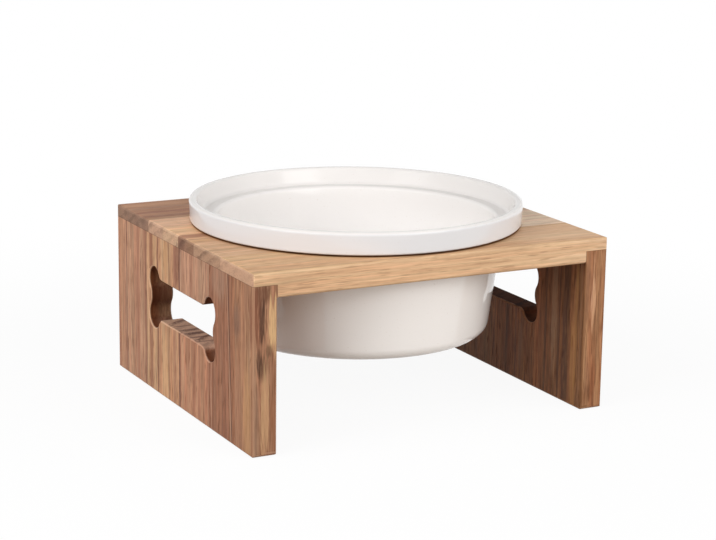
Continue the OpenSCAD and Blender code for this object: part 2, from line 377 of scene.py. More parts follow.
@dataclass(frozen=True)
class WoodFinish:
    """Oiled, sanded hardwood of one stave; sizes in millimetres.

    base is its middle tone, ends the tone of its end grain and edge the tint laid on faces that face front or
    back, painted light that makes them lighter than the stave's other faces. lean is the
    angle of the rings across the stave; ring, end_ring, band, line and fibre are the widths of its rings on
    the faces and on the end grain, its tone bands, fine lines and fibres. The shares say how strongly each
    part shows; worn_lit_share is that of the paler eased edges, partly wear and partly painted highlight.
    soak_and_shade is the tint of a routed wall, partly soaked-in oil and partly painted shade, and
    rim_shade_r the outer radius of the painted shade ring on the board in the gap under the bowl's rim.
    """

    grain: Axis
    base: str
    ends: str
    seed: float
    edge: Tuple[float, float, float] = (0.98, 1.04, 1.11)
    ring: float = 6.5
    end_ring: float = 11.0
    lean: float = -32.0
    band: float = 6.0
    line: float = 3.4
    fibre: float = 1.9
    band_share: float = 0.7
    ring_share: float = 0.12
    line_share: float = 0.85
    streak_share: float = 0.7
    fibre_share: float = 1.7
    cloud_share: float = 0.6
    pore_share: float = 0.75
    hue_share: float = 0.8
    end_share: float = 1.5
    wall_share: float = 0.6
    bar_share: float = 0.0
    worn_lit_share: float = 0.6
    soak_and_shade: Tuple[float, float, float] = (0.26, 0.14, 0.09)
    rim_shade_r: float = 0.0
    warp: float = 4.0
    gloss: float = 0.55
    specular: float = 0.14
    relief: float = 0.12
    marks: Tuple[Mark, ...] = ()
    seams: Tuple[Seam, ...] = ()
    routed: bool = False

    def shade(self, tint: Tint) -> Colour:
        """The middle tone with each of its parts scaled."""
        red, green, blue = (part * factor for part, factor in zip(tone(self.base), tint.value))
        return (red, green, blue, 1.0)

    def material(self, name: str) -> Material:
        """Builds the finish, whose pattern runs through the solid, so that faces and end grain agree."""
        return WoodTree(name, self).finished()


class WoodTree(MaterialTree):
    """The shader tree of one stave, whose colour is laid on layer by layer."""

    def __init__(self, name: str, wood: WoodFinish) -> None:
        """Starts with the stave's places and directions.

        Args:
            name: The material's name.
            wood: The finish.
        """
        super().__init__(name)
        self.wood = wood
        self.at, self.face = self.place(), self.facing()
        self.through = Axis.Z if wood.grain is Axis.X else Axis.X
        self.spot = wood.grain.of(self.at), Axis.Y.of(self.at), self.through.of(self.at)
        self.shift = wood.seed * 37.0
        self.colour: Any = wood.base

    def lay(self, colour: Any, share: Number, mode: str = "MIX") -> None:
        """Lays a colour, a code or a tint of the wood over what is there."""
        over = self.wood.shade(colour) if isinstance(colour, Tint) else colour
        self.colour = self.blend(self.colour, over, share, mode)

    def drawn(self, grain: Grain, spot: Optional[Spot] = None) -> Value:
        """A grain's noise, moved along by the stave's own shift."""
        return grain.at(self, spot or self.spot, self.shift)

    def finished(self) -> Material:
        """Lays every layer and ends the tree.

        Returns:
            The finished material.
        """
        wood = self.wood
        late, years, pores, lines = self.pattern()
        self.marks(False)
        # Painted light: faces that face front or back get the edge tint, lighter than the stave's other
        # faces.
        front_back_light = abs(Axis.Y.of(self.face)).rise(0.6, 0.9)
        self.lay(self.blend(WHITE, (*wood.edge, 1.0), front_back_light), 1.0, "MULTIPLY")
        end = abs(wood.grain.of(self.face)).rise(0.4, 0.8)
        self.lay(self.end_grain(years), end)
        self.marks(True)
        # Routed hole walls darkened: partly soaked-in oil and partly painted shade in the hole.
        wall = self.hole_wall() if wood.routed else 0.0
        if wood.routed:
            self.lay(self.blend(self.colour, (*wood.soak_and_shade, 1.0), 1.0, "MULTIPLY"), wall)
        # Eased edges painted paler: partly wear and partly a painted highlight.
        flat = abs(self.through.of(self.face))
        self.lay(Tint.WORN_EDGE, flat.rise(0.15, 0.4) * flat.rise(0.985, 0.93) * wood.worn_lit_share)
        # Painted shade: a dark ring on the board in the gap under the bowl's rim.
        if wood.rim_shade_r > 0:
            out, r = (self.at[0] * self.at[0] + self.at[1] * self.at[1]) ** 0.5, wood.rim_shade_r
            self.lay(Tint.RIM_STAIN, 0.9 * (out.rise(r, r - 1.0) * out.rise(r - 8.0, r - 5.0)))
        for seam in wood.seams:
            self.glue(seam)
        rough = wood.gloss + 0.14 * pores - 0.05 * late + 0.12 * (lines - 0.5) + 0.10 * end + 0.35 * wall
        height = 0.6 - 0.45 * pores + 0.16 * lines - 0.08 * late
        sockets = {"Base Color": self.colour, "Roughness": rough, "Specular IOR Level": wood.specular}
        return self.close(sockets, height, wood.relief)

    def late_wood(self, turn: Value) -> Value:
        """The dark outer part of each yearly ring.

        Args:
            turn: The count of rings at each place.

        Returns:
            From 0 up to at most 1, more in some years than in others.
        """
        whole = turn.floor()
        part = turn - whole
        year = 0.2 + 0.8 * self.chance(whole + self.wood.seed)
        return part.rise(0.30, 0.80) * part.rise(1.0, 0.90) * year

    def pattern(self) -> Tuple[Value, ...]:
        """Lays the rings, tone bands, fine lines, clouds and pores of the wood.

        Returns:
            How much of a ring, a ring on the end grain, a pore and a fine line is at each place.
        """
        wood, shift = self.wood, self.shift
        along, across, depth = self.spot
        cos, sin = math.cos(math.radians(wood.lean)), math.sin(math.radians(wood.lean))
        slow, quick = self.drawn(SLOW_WARP) - 0.5, self.drawn(QUICK_WARP) - 0.5
        radial = across * cos + depth * sin + slow * (2 * wood.warp) + quick * 2.5 + shift
        tangent = depth * cos - across * sin
        turned = along, radial, tangent
        late = self.late_wood(radial / wood.ring)
        patchy = self.noise(across / 9, depth / 5, along / 60 + shift, 2, 0.6)
        years = self.late_wood((radial + 5 * patchy) / wood.end_ring + 0.3) * patchy.rise(0.3, 0.55)
        band = self.drawn(Grain(420, wood.band, 70, 4, 0.62), turned) - 0.5
        lines = self.drawn(Grain(90, wood.line, 7 * wood.line, 3, 0.65), turned)
        apart = along, radial + 7 * wood.line, tangent
        streaks = self.drawn(Grain(55, wood.line, 5 * wood.line, 2, 0.6), apart)
        fibres = self.drawn(Grain(26, wood.fibre, 0.5 * wood.fibre, 3, 0.65)) - 0.5
        mottle, cloud = self.drawn(MOTTLE) - 0.5, self.drawn(CLOUD) - 0.5
        share = 0.5 + band * (3.0 * wood.band_share) + (lines - 0.5) * (2.4 * wood.line_share)
        share = (share + cloud * (1.4 * wood.cloud_share)).rise(-0.15, 1.15)
        self.colour = wood.shade(Tint.PALE)
        self.lay(Tint.DEEP, share)
        self.lay(Tint.LATE_WOOD, late * wood.ring_share)
        self.lay(Tint.DARK_STREAK, streaks.rise(0.55, 0.70) * wood.streak_share)
        self.lay(Tint.PALE_STREAK, streaks.rise(0.45, 0.30) * (0.7 * wood.streak_share))
        hue = self.drawn(HUE, (along, radial + 9 * HUE.width, tangent)).rise(0.34, 0.66)
        self.lay(self.blend(RED_CAST, GREEN_CAST, hue), wood.hue_share, "MULTIPLY")
        tint = 1 + fibres * (0.7 * wood.fibre_share) + (0.5 * cloud + 0.3 * mottle) * wood.cloud_share
        self.lay(self.vector(tint, tint, tint), 1.0, "MULTIPLY")
        pores = self.drawn(Grain(16, 0.9 * wood.fibre, 0.8, 1)).rise(0.57, 0.72)
        self.lay(Tint.PORE, pores * wood.pore_share)
        return late, years, pores, lines

    def end_grain(self, years: Value) -> Value:
        """The colour of the cut ends.

        Args:
            years: How much of a ring is at each place of the end grain.

        Returns:
            The tone of the ends with some of the faces' colour, darker in the rings and in small dots.
        """
        ends = self.wood.ends
        dark = self.blend(ends, END_RING_CAST, 1.0, "MULTIPLY")
        dots = END_DOTS.at(self, self.spot).rise(0.5, 0.68)
        share = (years * self.wood.end_share + 0.3 * dots).least(1.0)
        return self.blend(self.blend(self.colour, ends, 0.75), dark, share)

    def hole_wall(self) -> Value:
        """Where the routed wall of a grip hole is: darker there, partly from soaked-up oil and partly as
        painted shade in the hole, most of all near the outer face.

        The bar between the lobes faces up and is darkened only as far as bar_share paints shade on it.

        Returns:
            From wall_share inside up to 1 at the outer face, times bar_share on the bar, and 0 elsewhere.
        """
        wood = self.wood
        x, y, z = self.at
        inside = STAND.leg_t / 2 - 0.3
        within = abs(abs(x) - STAND.leg_x).rise(inside, inside - 1.6)
        within = within * abs(y).rise(HOLE_HALF_L + 1, HOLE_HALF_L - 1)
        within = within * abs(z - HOLE_Z).rise(HOLE_HALF_H + 1, HOLE_HALF_H - 1)
        bar = abs(y).rise(BAR_HALF_L + 2, BAR_HALF_L - 2) * Axis.Z.of(self.face).rise(0.2, 0.7)
        outer = wood.wall_share + (1 - wood.wall_share) * abs(x).rise(STAND.core_x + 4, STAND.half_l - 2)
        return within * abs(Axis.X.of(self.face)).rise(0.7, 0.4) * outer * (1 - (1 - wood.bar_share) * bar)

    @cached_property
    def stray(self) -> Tuple[Value, ...]:
        """The unevenness that all marks of the stave share.

        Returns:
            How they stray sideways along the grain, at their edges and in their strength.
        """
        shift = self.wood.seed * 11.0
        sway = self.noise(self.spot[0] / 55 + shift, shift, 0.0) - 0.5
        ragged = RAGGED_EDGE.at(self, self.spot, shift) - 0.5
        return sway, ragged, 0.45 + 0.55 * GRIT.at(self, self.spot, shift).rise(0.2, 0.6)

    def marks(self, over_ends: bool) -> None:
        """Lays the marks; every other one sways the other way.

        Args:
            over_ends: Whether those over the end grain are laid, or those below it.
        """
        for number, mark in enumerate(self.wood.marks):
            if mark.over_ends is over_ends:
                self.mark(mark, 1 - 2 * (number % 2))

    def mark(self, mark: Mark, way: int) -> None:
        """Lays one streak or blotch.

        Args:
            mark: The streak or blotch.
            way: 1 or -1, the way that it sways.
        """
        grain = self.wood.grain
        sway, ragged, grit = self.stray
        reach: Number = 0.0
        for axis, middle, half in mark.spans:
            offset = axis.of(self.at) - middle
            if axis is not grain:
                offset = offset + sway * (2 * mark.drift * way)
                if mark.slant:
                    offset = offset - (grain.of(self.at) - SLANT_Z) * mark.slant
            reach = reach + (offset / half) ** 2.0
        away = reach ** 0.5 + ragged * (2 * mark.rag)
        self.lay(mark.code, away.rise(1.15, 0.45) * grit * mark.strength)

    def glue(self, seam: Seam) -> None:
        """Draws one glue line.

        Args:
            seam: The glue line.
        """
        mask = abs(seam.axis.of(self.at) - seam.at).rise(seam.half, seam.half * 0.25)
        if seam.only is not None:
            limit = seam.only.of(self.at)
            low, high = seam.past - 0.1, seam.past + 0.1
            mask = mask * (limit.rise(high, low) if seam.below else abs(limit).rise(low, high))
        self.lay(GLUE, mask * seam.strength)


@dataclass(frozen=True)
class DowelFinish:
    """Plain pale birch, turned and fluted."""

    pale: str = "d9bd95"
    deep: str = "b98f62"

    def material(self, name: str) -> Material:
        """Builds the finish.

        Args:
            name: The material's name.

        Returns:
            A material with fine upright fibres.
        """
        t = MaterialTree(name)
        x, y, z = t.place()
        fibre = Grain(9, 0.35, 0.35, 3, 0.6).at(t, (z, y, x))
        fleck = Grain(1.6, 0.3, 0.3, 1).at(t, (z, y, x)).rise(0.6, 0.75)
        colour = t.blend(self.pale, self.deep, 0.6 * fibre.rise(0.3, 0.75) + 0.3 * fleck)
        return t.close({"Base Color": colour, "Roughness": 0.62 + 0.15 * fibre}, fibre, 0.05)


@dataclass(frozen=True)
class GlazeFinish:
    """Glossy warm-white glaze over a pale fired body; heights in millimetres.

    inner is its tone on the rim's inner wall, ledge and well below that, outer on the body and rim on the
    rim's outer face; these tones of one glaze are painted light and shade: the well lighter towards its
    floor, the rim's walls darker than the body. speck is the tone of its few specks, and biscuit and sand are
    those of the bare clay.
    """

    inner: str = "dfdbd8"
    ledge: str = "e8e4e1"
    well: str = "f4f1ef"
    outer: str = "f2efec"
    rim: str = "dedee0"
    speck: str = "b9a48d"
    biscuit: str = "cfc0ad"
    sand: str = "b7a48e"
    foot_z: float = 47.0
    rim_z: float = 128.0
    well_drop: float = 38.0
    gloss: float = 0.08
    specular: float = 0.5
    relief: float = 0.012

    def material(self, name: str) -> Material:
        """Builds the finish.

        Args:
            name: The material's name.

        Returns:
            A glaze whose regions carry painted light and shade, with soft drifts of tone, and bare clay on
            the foot ring.
        """
        t = MaterialTree(name)
        x, y, z = spot = t.place()
        drift = Grain(70, 70, 55).at(t, spot).rise(0.3, 0.75)
        away_x, away_y, up = t.facing()
        outward = (x * away_x + y * away_y) / (x * x + y * y + 1.0) ** 0.5
        inside = 1 - (1 - outward.rise(0.3, -0.3)) * up.rise(0.8, 0.2)
        low = self.rim_z + 3.0
        # Painted light and shade: lighter from the ledge down into the well, darker on the rim's inner wall.
        lining = t.blend(self.ledge, self.well, z.rise(low, self.rim_z - self.well_drop))
        lining = t.blend(lining, self.inner, z.rise(low, low + 2.5))
        colour = t.blend(self.outer, lining, inside - 0.12 * drift)
        # Painted shade: the rim's outer face darker than the body.
        colour = t.blend(colour, self.rim, z.rise(self.rim_z - 0.5, self.rim_z + 1.0) * (1 - inside))
        specks = Grain(0.9, 0.9, 0.9, 0).at(t, spot).rise(0.80, 0.84)
        colour = t.blend(colour, self.speck, 0.25 * specks)
        edge = z + (Grain(9, 9, 9).at(t, spot) - 0.5) * 0.8
        bare = edge.rise(self.foot_z + 1.0, self.foot_z + 0.7)
        grains = Grain(0.5, 0.5, 0.5, 2, 0.6).at(t, spot)
        clay = t.blend(self.biscuit, self.sand, grains.rise(0.35, 0.7))
        colour = t.blend(colour, clay, bare)
        rough = self.gloss + 0.03 * drift + 0.7 * bare
        orange_peel = Grain(4.5, 4.5, 4.5, 1).at(t, spot)
        height = orange_peel * (1 - bare) + grains * bare
        sockets = {"Base Color": colour, "Roughness": rough, "Specular IOR Level": self.specular}
        return t.close(sockets, height, self.relief)


def new_piece(name: str, data: ID) -> Object:
    """Puts a mesh, lamp or camera into the scene.

    Args:
        name: The object's name.
        data: What it shows.

    Returns:
        The new object, at the origin.
    """
    piece = bpy.data.objects.new(name, data)
    bpy.context.scene.collection.objects.link(piece)
    return piece


@contextmanager
def edited(mesh: Mesh) -> Iterator[bmesh.types.BMesh]:
    """Opens a mesh for changes and puts the result back.

    Args:
        mesh: The mesh.

    Yields:
        Its editable form, with doubled points merged.
    """
    work = bmesh.new()
    work.from_mesh(mesh)
    bmesh.ops.remove_doubles(work, verts=work.verts, dist=MERGE)
    yield work
    work.to_mesh(mesh)
    work.free()


def close_outward(mesh: Mesh) -> None:
    """Merges doubled points, turns every face outwards and shades the mesh smoothly.

    Args:
        mesh: The mesh.
    """
    with edited(mesh) as work:
        bmesh.ops.recalc_face_normals(work, faces=work.faces)
        if work.calc_volume(signed=True) < 0:
            bmesh.ops.reverse_faces(work, faces=work.faces)
    mesh.shade_smooth()


def hand_over(piece: Object, body: str, slot: str, *nodes: str) -> None:
    """Lets a finished piece ride on a body in place of its CAD nodes.

    Args:
        piece: The piece.
        body: The body it moves with.
        slot: The record's material slot; not used.
        nodes: The CAD nodes that it stands for.
    """
    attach(piece, body)
    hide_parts(*nodes)
    LOG.info("%s: %d faces on %s", piece.name, len(piece.data.polygons), body)


@dataclass
class StavePanel:
    """A panel of edge-glued staves; each keeps its solid's shape, with softly shaded edges."""

    slot: str
    finishes: Dict[str, WoodFinish]
    flat_angle: float = 0.3
    soft_angle: float = 50.0
    broad: float = 4.0

    def build(self) -> None:
        """Makes and dresses every stave of the panel."""
        for node, finish in self.finishes.items():
            piece = self.stave(node)
            piece.data.materials.clear()
            piece.data.materials.append(finish.material("wood_" + node))
            hand_over(piece, "stand", self.slot, node)

    def stave(self, node: str) -> Object:
        """Copies a stave's solid as one closed mesh whose rounded edges shade smoothly.

        Args:
            node: The CAD node.

        Returns:
            The new piece.
        """
        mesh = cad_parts[node].data.copy()
        flat = math.radians(self.flat_angle)
        with edited(mesh) as work:
            bmesh.ops.dissolve_limit(work, angle_limit=flat, verts=work.verts, edges=work.edges)
        mesh.shade_smooth()
        self.soften(mesh)
        return new_piece("dressed_" + node, mesh)

    def soften(self, mesh: Mesh) -> None:
        """Shades rounded edges smoothly: each corner of a face leans towards its neighbours by their areas.

        Neighbours that turn away by more than soft_angle don't count, and a broad face stays flat.

        Args:
            mesh: The stave's mesh.
        """
        near = math.cos(math.radians(self.soft_angle))
        around: Dict[int, List[MeshPolygon]] = {}
        for face in mesh.polygons:
            for spot in face.vertices:
                around.setdefault(spot, []).append(face)
        normals = [Vector((0.0, 0.0, 1.0))] * len(mesh.loops)
        for face in mesh.polygons:
            own = face.normal.copy()
            rim = sum((mesh.vertices[a].co - mesh.vertices[b].co).length for a, b in face.edge_keys)
            for corner, spot in zip(face.loop_indices, face.vertices):
                lean = own * 1e-12
                for other in around[spot]:
                    if other.normal.dot(own) > near:
                        lean = lean + other.normal * other.area
                normals[corner] = own if 2 * face.area > self.broad * MM * rim else lean.normalized()
        mesh.normals_split_custom_set(normals)


class GeometryTree(Tree):
    """A geometry tree with named inputs, run once on a piece."""

    def __init__(self, name: str, inputs: Dict[str, Union[int, float]]) -> None:
        """Makes the empty tree and its sockets.

        Args:
            name: The tree's name.
            inputs: Its named inputs and what each is set to.
        """
        super().__init__(bpy.data.node_groups.new(name, "GeometryNodeTree"))
        self.inputs = inputs
        face = self.tree.interface
        for way in ("OUTPUT", "INPUT"):
            face.new_socket("Geometry", in_out=way, socket_type="NodeSocketGeometry")
        for label, given in inputs.items():
            kind = "NodeSocketInt" if isinstance(given, int) else "NodeSocketFloat"
            face.new_socket(label, in_out="INPUT", socket_type=kind)
        self.start = self.make("NodeGroupInput")

    def given(self, label: str) -> Value:
        """The value of a named input."""
        return Value(self, self.start.outputs[label])

    def spread(self, geometry: Node, x: Value, y: Value, z: Value) -> Node:
        """Moves every point of a geometry to a new place."""
        sockets = {"Geometry": geometry, "Position": self.vector(x, y, z)}
        return self.make("GeometryNodeSetPosition", None, sockets)

    def run(self, piece: Object, geometry: Node, material: Material) -> None:
        """Ends the tree in real geometry of one material and keeps that as a piece's plain, closed mesh.

        Args:
            piece: The object whose mesh the tree starts from.
            geometry: The last node of what it makes.
            material: The finish.
        """
        real = self.make("GeometryNodeRealizeInstances", None, {0: geometry})
        dressed = self.make("GeometryNodeSetMaterial", None, {"Geometry": real, "Material": material})
        self.make("NodeGroupOutput", None, {0: dressed})
        modifier = piece.modifiers.new(self.tree.name, "NODES")
        modifier.node_group = self.tree
        for item in self.tree.interface.items_tree:
            if item.in_out == "INPUT" and item.name in self.inputs:
                modifier[item.identifier] = self.inputs[item.name]
        bpy.context.view_layer.update()
        graph = bpy.context.evaluated_depsgraph_get()
        made = piece.evaluated_get(graph)
        mesh = bpy.data.meshes.new_from_object(made, preserve_all_data_layers=True, depsgraph=graph)
        piece.modifiers.clear()
        old, piece.data = piece.data, mesh
        mesh.name = piece.name
        bpy.data.meshes.remove(old)
        close_outward(mesh)


@dataclass
class DowelRow:
    """The four fluted dowels that pin one leg to the board's lap; sizes in millimetres."""

    side: Side
    radius: float = 3.0
    in_leg: float = 14.0
    in_lap: float = 5.5
    places: Tuple[float, ...] = (-105.0, -38.0, 38.0, 105.0)
    flutes: int = 14
    flute_depth: float = 0.16
    chamfer: float = 0.6
    around: int = 56
    along: int = 26
    sharp_angle: float = 40.0

    def build(self) -> None:
        """Makes the row and dresses it."""
        mesh = bpy.data.meshes.new("dowel_places")
        x, low = self.side.sign * STAND.leg_x, STAND.lap_z - self.in_leg
        mesh.from_pydata([(x * MM, y * MM, low * MM) for y in self.places], [], [])
        piece = new_piece(f"fluted_{self.side.value}_dowels", mesh)
        self.flute(piece, DowelFinish().material(f"birch_{self.side.value}"))
        piece.data.set_sharp_from_angle(angle=math.radians(self.sharp_angle))
        hand_over(piece, "stand", "dowel_wood", f"{self.side.value}_dowels")

    def flute(self, piece: Object, material: Material) -> None:
        """Flutes one dowel and sets it at each place.

        Args:
            piece: The places as an object, which becomes the row.
            material: The dowels' finish.
        """
        inputs = {
            "Radius": self.radius * MM,
            "Length": (self.in_leg + self.in_lap) * MM,
            "Flute Depth": self.flute_depth * MM,
            "Flutes": self.flutes,
            "Chamfer": self.chamfer * MM,
        }
        t = GeometryTree(f"dowel_row_{self.side.value}", inputs)
        length, radius = t.given("Length"), t.given("Radius")
        sockets = {"Vertices": self.around, "Side Segments": self.along, "Radius": radius, "Depth": length}
        blank = t.make("GeometryNodeMeshCylinder", {"fill_type": "NGON"}, sockets)
        x, y, z = t.split(t.make("GeometryNodeInputPosition"))
        angle = t.math("ARCTAN2", y, x)
        flute = t.given("Flute Depth") * (0.5 - 0.5 * (angle * t.given("Flutes")).cosine())
        to_end = length * 0.5 - abs(z)
        ease = (t.given("Chamfer") - to_end).most(0.0)
        scale = (radius - flute - ease) / radius
        dowel = t.spread(blank, x * scale, y * scale, z + length * 0.5)
        row = t.make("GeometryNodeInstanceOnPoints", None, {"Points": t.start, "Instance": dowel})
        t.run(piece, row, material)


@dataclass
class FeedingBowl:
    """The loose bowl: upright rim, inner ledge, leaning wall and foot ring; sizes in millimetres."""

    board_z: float = 128.0
    rim_d: float = 246.0
    rim_h: float = 17.4
    rim_t: float = 5.5
    rim_draft: float = 0.8
    rim_lean: float = 3.5
    rim_foot_r: float = 1.5
    rim_gap: float = 1.2
    rim_rest_r: float = 115.4
    ledge_drop: float = 12.6
    ledge_r: float = 3.0
    body_d: float = 218.8
    taper: float = 7.5
    depth: float = 81.0
    wall_t: float = 6.8
    floor_t: float = 7.0
    base_r: float = 11.0
    well_r: float = 18.0
    foot_w: float = 8.0
    foot_recess: float = 2.0
    recess_r: float = 1.2
    ring_r: float = 0.6
    shoulder_r: float = 1.0
    rest_r: float = 0.25
    step: float = 5.0
    around: int = 288
    ripple: float = 0.10
    waves: float = 1.6
    waves_up: float = 14.0
    seed: float = 4.0

    def build(self) -> None:
        """Turns the section about the bowl's axis and dresses it."""
        points = self.section()
        mesh = bpy.data.meshes.new("bowl_section")
        mesh.from_pydata([(r * MM, 0.0, z * MM) for r, z in points], [], [])
        piece = new_piece("glazed_bowl", mesh)
        glaze = GlazeFinish(foot_z=self.board_z - self.depth, rim_z=self.board_z)
        self.turn(piece, len(points), glaze.material("white_glaze"))
        hand_over(piece, "bowl", "glaze", "feeding_bowl")

    def turn(self, piece: Object, count: int, material: Material) -> None:
        """Turns a section into the bowl, with the slight waves of a thrown wall.

        Args:
            piece: The section as an object, which becomes the bowl.
            count: Number of points in the section.
            material: The glaze.
        """
        inputs = {
            "Around": self.around,
            "Section Points": count,
            "Ripple": self.ripple * MM,
            "Seed": self.seed,
        }
        t = GeometryTree("turned_bowl", inputs)
        columns = t.given("Around") + 1
        sockets = {"Vertices X": t.given("Section Points"), "Vertices Y": columns}
        grid = t.make("GeometryNodeMeshGrid", None, sockets)
        index = t.value("GeometryNodeInputIndex")
        row = ((index + 0.5) / columns).floor()
        angle = (index - row * columns) * (2 * math.pi) / t.given("Around")
        cos, sin = angle.cosine(), angle.sine()
        settings = {"data_type": "FLOAT_VECTOR", "domain": "POINT"}
        sockets = {"Geometry": t.start, "Value": t.make("GeometryNodeInputPosition"), "Index": row}
        radius, _, height = t.split(t.make("GeometryNodeSampleIndex", settings, sockets))
        round_x = cos * self.waves + t.given("Seed")
        wave = t.noise(round_x, sin * self.waves, height * self.waves_up, 1) - 0.5
        radius = radius + wave * 2 * t.given("Ripple") * (radius / (self.rim_d * MM / 2))
        turned = t.spread(grid, radius * cos, radius * sin, height)
        sockets = {"Geometry": turned, "Distance": MERGE}
        t.run(piece, t.make("GeometryNodeMergeByDistance", None, sockets), material)

    def section(self) -> List[Tuple[float, float]]:
        """Half section of the bowl, from the axis under its base round to the axis on its floor.

        Returns:
            Points of radius and height, in millimetres.
        """
        angle = math.radians(self.taper)
        slope, lean, corner = math.tan(angle), math.cos(angle), math.tan(math.radians(45) - angle / 2)
        top = self.board_z + self.rim_h
        ledge_z = top - self.ledge_drop
        base_z = self.board_z - self.depth
        floor_z = base_z + self.floor_t
        recess_z = base_z + self.foot_recess
        rest_z = self.board_z + self.rim_gap
        body_r = self.body_d / 2
        mouth_r = body_r - self.wall_t + (ledge_z - self.board_z) * slope
        base_c = body_r - (self.depth - self.base_r) * slope - self.base_r / lean
        well_c = mouth_r - (ledge_z - floor_z - self.well_r) * slope - self.well_r / lean
        lip_r = self.rim_d / 2
        ring_in = base_c - self.foot_w
        corners = [
            (0.0, recess_z, 0.0),
            (ring_in - self.foot_recess, recess_z, self.recess_r),
            (ring_in, base_z, self.ring_r),
            (base_c + self.base_r * corner, base_z, self.base_r),
            (body_r, self.board_z, self.shoulder_r),
            (self.rim_rest_r, self.board_z, self.rest_r),
            (self.rim_rest_r + self.rim_gap, rest_z, self.rest_r),
            (lip_r - self.rim_draft, rest_z, self.rim_foot_r),
            (lip_r, top, self.rim_t * 0.5),
            (lip_r - self.rim_t, top, self.rim_t * 0.5),
            (lip_r - self.rim_t - self.rim_lean, ledge_z, self.ledge_r),
            (mouth_r, ledge_z, self.ledge_r),
            (well_c + self.well_r * corner, floor_z, self.well_r),
            (0.0, floor_z, 0.0),
        ]
        return rounded_line(corners, self.step)


# Most of a straight run that one rounding may take, and the turn in degrees between two of its points.
RUN_SHARE, ARC_STEP = 0.499, 7.0


def rounded_line(corners: Sequence[Tuple[float, float, float]], step: float) -> List[Tuple[float, float]]:
    """Follows a line with rounded corners.

    Args:
        corners: Radius and height of each corner, and its rounding.
        step: Longest distance between two points of a straight run.

    Returns:
        The points in order.
    """
    spots = [Vector((r, z)) for r, z, _ in corners]
    line: List[Vector] = [spots[0]]
    for i in range(1, len(spots) - 1):
        before, after = spots[i] - spots[i - 1], spots[i + 1] - spots[i]
        into, out = before.normalized(), after.normalized()
        bend = abs(into.angle_signed(out))
        reach = corners[i][2] * math.tan(bend / 2)
        reach = min(reach, RUN_SHARE * before.length, RUN_SHARE * after.length)
        begin = spots[i] - into * reach
        side = 1 if into.cross(out) > 0 else -1
        centre = begin + Vector((-into.y, into.x)) * (reach / math.tan(bend / 2)) * side
        arm = begin - centre
        parts = max(3, math.ceil(math.degrees(bend) / ARC_STEP))
        arc = []
        for k in range(parts + 1):
            turn = side * bend * k / parts
            c, s = math.cos(turn), math.sin(turn)
            arc.append(centre + Vector((arm.x * c - arm.y * s, arm.x * s + arm.y * c)))
        line += straight(line[-1], arc[0], step) + arc
    line += straight(line[-1], spots[-1], step) + [spots[-1]]
    return [(p.x, p.y) for p in line]


def straight(start: Vector, end: Vector, step: float) -> List[Vector]:
    """Points between two others, neither included, no further apart than a step."""
    count = max(1, math.ceil((end - start).length / step))
    return [start.lerp(end, k / count) for k in range(1, count)]


@dataclass(frozen=True)
class SoftBox:
    """A lamp that looks at the stand, by its directions in degrees, its sizes in millimetres and its watts.

    One that isn't mirrored doesn't show in reflections.
    """

    name: str
    azimuth: float
    elevation: float
    far: float
    size: Tuple[float, float]
    power: float
    mirrored: bool = True


